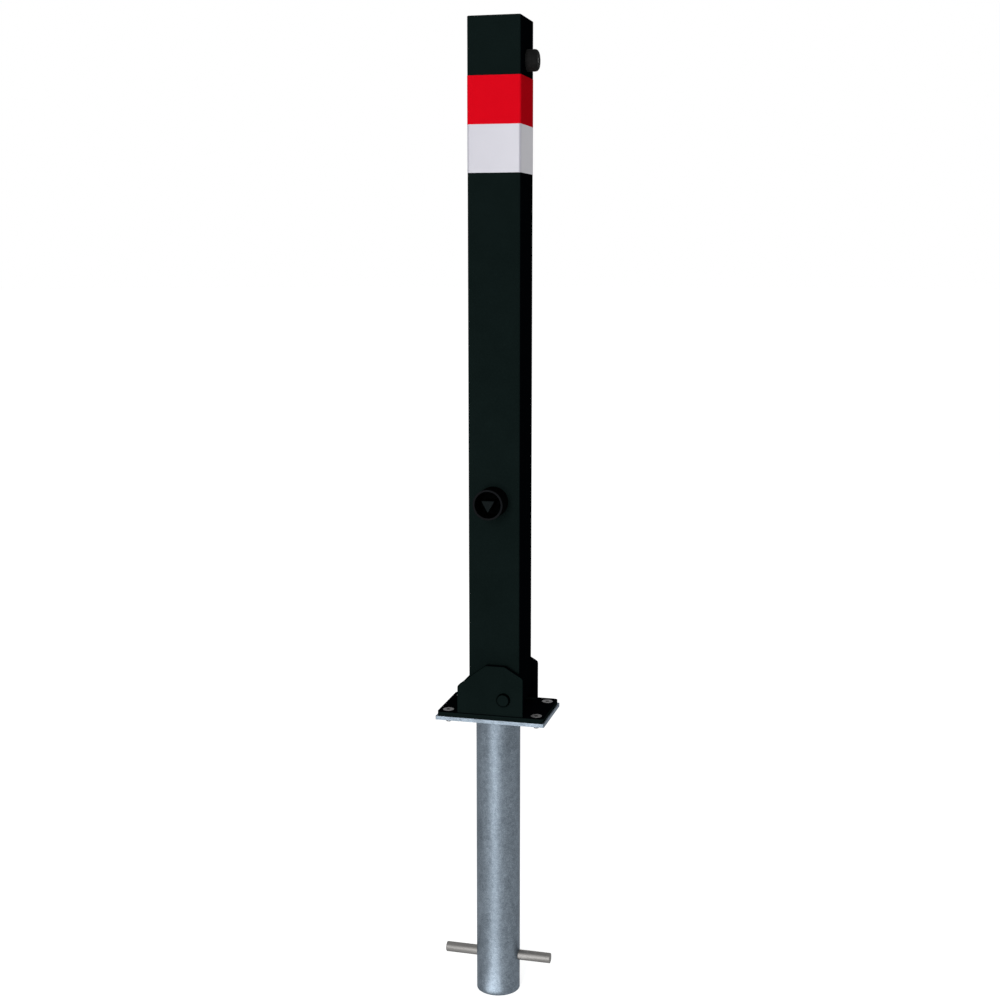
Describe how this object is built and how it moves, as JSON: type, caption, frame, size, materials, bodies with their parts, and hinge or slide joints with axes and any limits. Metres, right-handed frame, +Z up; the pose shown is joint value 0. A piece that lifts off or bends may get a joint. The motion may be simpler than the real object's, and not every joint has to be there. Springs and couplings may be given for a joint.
{
  "type": "fold-down bollard",
  "caption": "Square steel post with reflective bands that folds flat on a hinge over a ground socket and is locked upright by a triangular key.",
  "frame": {"origin": "on the socket pipe's axis, in the flat underside of the socket's flange, which lies at ground level", "axes": "+Z up along the socket pipe; +X is the direction in which the post folds; -Y is the side of the key lock"},
  "size_m": [0.15, 0.129, 1.3145],
  "materials": {
    "black_coat": "satin black powder coat",
    "galvanised": "hot-dip galvanised, faint spangle",
    "bare_steel": "bright round bar",
    "zinc_plate": "zinc plated",
    "inner_steel": "machined, oiled",
    "dark_steel": "blackened steel",
    "red_film": "reflective film",
    "white_film": "reflective film",
    "rubber": "moulded rubber"
  },
  "bodies": {
    "root": {"sleeve_pipe": "galvanised", "sleeve_flange": "galvanised", "anchor_bar": "bare_steel", "foot_plate": "black_coat", "front_ear": "black_coat", "rear_ear": "black_coat", "stop_plate": "black_coat", "foot_screws": "zinc_plate", "hinge_bolt": "black_coat", "hinge_nut": "zinc_plate", "nut_washer": "zinc_plate", "spacer_washers": "zinc_plate"},
    "post": {"post_tube": "black_coat", "top_cap": "black_coat", "hinge_tube": "inner_steel", "lock_collar": "black_coat", "lock_bush": "dark_steel", "lower_guide": "inner_steel", "upper_guide": "inner_steel", "red_band": "red_film", "white_band": "white_film", "buffer": "rubber", "buffer_screw": "zinc_plate", "buffer_nut": "zinc_plate"},
    "spindle": {"lock_spindle": "dark_steel", "spindle_ring": "dark_steel", "crank_lever": "inner_steel", "crank_pin": "inner_steel"},
    "bar": {"locking_bar": "inner_steel"}
  },
  "joints": [
    {"name": "post_fold", "type": "hinge", "parent": "root", "child": "post", "pos_m": [0.019, 0, 0.0335], "axis": [0, 1, 0], "range_deg": [0, 90]},
    {"name": "spindle_turn", "type": "hinge", "parent": "post", "child": "spindle", "pos_m": [0.003, -0.04, 0.2995], "axis": [0, -1, 0], "range_deg": [0, 90]},
    {"name": "bar_slide", "type": "slide", "parent": "post", "child": "bar", "axis": [0, 0, -1], "range_m": [0, 0.0198]}
  ],
  "couplings": [
    {"joint": "spindle_turn", "follows": "bar_slide", "rad_per_m": 79.337}
  ]
}
